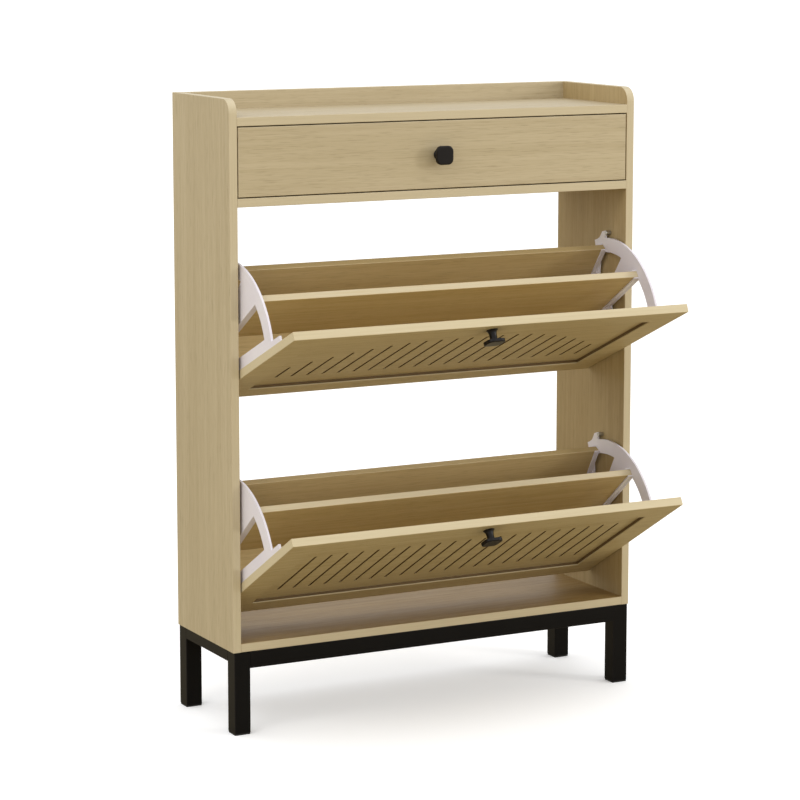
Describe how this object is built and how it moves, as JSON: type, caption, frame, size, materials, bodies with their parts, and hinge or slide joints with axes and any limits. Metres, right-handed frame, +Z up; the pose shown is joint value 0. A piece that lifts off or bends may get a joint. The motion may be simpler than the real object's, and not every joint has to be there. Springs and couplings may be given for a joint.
{
  "type": "shoe cabinet",
  "caption": "Tall narrow shoe cabinet on a square-tube base, with a shallow drawer over tilt-out shoe bins hung on moulded quarter-arc brackets.",
  "frame": {"origin": "on the floor, midway between the four feet", "axes": "+X to the right across the front, +Y to the back, +Z up"},
  "size_m": [0.8, 0.4561, 1.1],
  "materials": {
    "oak_board": "light oak foil with fine grain, satin",
    "bin_board": "light oak foil, matt",
    "drawer_box_board": "light oak foil, matt",
    "hardboard_panel": "thin fibreboard, matt",
    "beech_dowel": "plain beech",
    "black_frame": "fine black powder coat on square steel tube",
    "black_knob": "black satin",
    "black_glide": "matt black",
    "white_moulding": "white moulded plastic, satin",
    "zinc_slide": "bright zinc plate",
    "zinc_fastener": "zinc plate"
  },
  "bodies": {
    "cabinet": {"left_side_panel": "oak_board", "right_side_panel": "oak_board", "top_board": "oak_board", "drawer_shelf": "oak_board", "bottom_board": "oak_board", "back_rail": "oak_board", "front_left_leg": "black_frame", "front_right_leg": "black_frame", "back_left_leg": "black_frame", "back_right_leg": "black_frame", "left_side_rail": "black_frame", "right_side_rail": "black_frame", "front_base_rail": "black_frame", "back_base_rail": "black_frame", "foot_glides": "black_glide", "base_screws": "zinc_fastener", "base_bolts": "zinc_fastener", "leg_nuts": "zinc_fastener", "cam_locks": "zinc_fastener", "cam_bolts": "zinc_fastener", "dowels": "beech_dowel", "pivot_sockets": "white_moulding", "stop_pegs": "zinc_fastener", "slide_cabinet_members": "zinc_slide", "slide_cabinet_screws": "zinc_fastener"},
    "drawer": {"drawer_front": "oak_board", "drawer_left_side": "drawer_box_board", "drawer_right_side": "drawer_box_board", "drawer_back": "drawer_box_board", "drawer_bottom": "hardboard_panel", "drawer_cam_bolts": "zinc_fastener", "drawer_cams": "zinc_fastener", "drawer_screws": "zinc_fastener", "drawer_knob": "black_knob", "drawer_knob_screw": "zinc_fastener", "slide_drawer_members": "zinc_slide", "slide_drawer_screws": "zinc_fastener"},
    "slide_middles": {"slide_middle_members": "zinc_slide"},
    "outer_ball_strips": {"slide_outer_ball_strips": "zinc_slide"},
    "inner_ball_strips": {"slide_inner_ball_strips": "zinc_slide"},
    "upper_flap": {"upper_flap_front": "oak_board", "upper_left_bracket": "white_moulding", "upper_right_bracket": "white_moulding", "upper_divider": "bin_board", "upper_back_board": "bin_board", "upper_front_floor": "bin_board", "upper_rear_floor": "bin_board", "upper_bin_screws": "zinc_fastener", "upper_knob": "black_knob", "upper_knob_screw": "zinc_fastener"},
    "lower_flap": {"lower_flap_front": "oak_board", "lower_left_bracket": "white_moulding", "lower_right_bracket": "white_moulding", "lower_divider": "bin_board", "lower_back_board": "bin_board", "lower_front_floor": "bin_board", "lower_rear_floor": "bin_board", "lower_bin_screws": "zinc_fastener", "lower_knob": "black_knob", "lower_knob_screw": "zinc_fastener"}
  },
  "joints": [
    {"name": "drawer_slide", "type": "slide", "parent": "cabinet", "child": "drawer", "axis": [0, -1, 0], "range_m": [0, 0.19]},
    {"name": "slide_middle_travel", "type": "slide", "parent": "cabinet", "child": "slide_middles", "axis": [0, -1, 0], "range_m": [0, 0.095]},
    {"name": "outer_ball_travel", "type": "slide", "parent": "cabinet", "child": "outer_ball_strips", "axis": [0, -1, 0], "range_m": [0, 0.0475]},
    {"name": "inner_ball_travel", "type": "slide", "parent": "cabinet", "child": "inner_ball_strips", "axis": [0, -1, 0], "range_m": [0, 0.1425]},
    {"name": "upper_flap_hinge", "type": "hinge", "parent": "cabinet", "child": "upper_flap", "pos_m": [0, -0.078, 0.6525], "axis": [1, 0, 0], "range_deg": [-66.6, 0]},
    {"name": "lower_flap_hinge", "type": "hinge", "parent": "cabinet", "child": "lower_flap", "pos_m": [0, -0.078, 0.278], "axis": [1, 0, 0], "range_deg": [-60.1, 0]}
  ],
  "couplings": [
    {"joint": "slide_middle_travel", "follows": "drawer_slide", "ratio": 0.5},
    {"joint": "outer_ball_travel", "follows": "drawer_slide", "ratio": 0.25},
    {"joint": "inner_ball_travel", "follows": "drawer_slide", "ratio": 0.75}
  ]
}
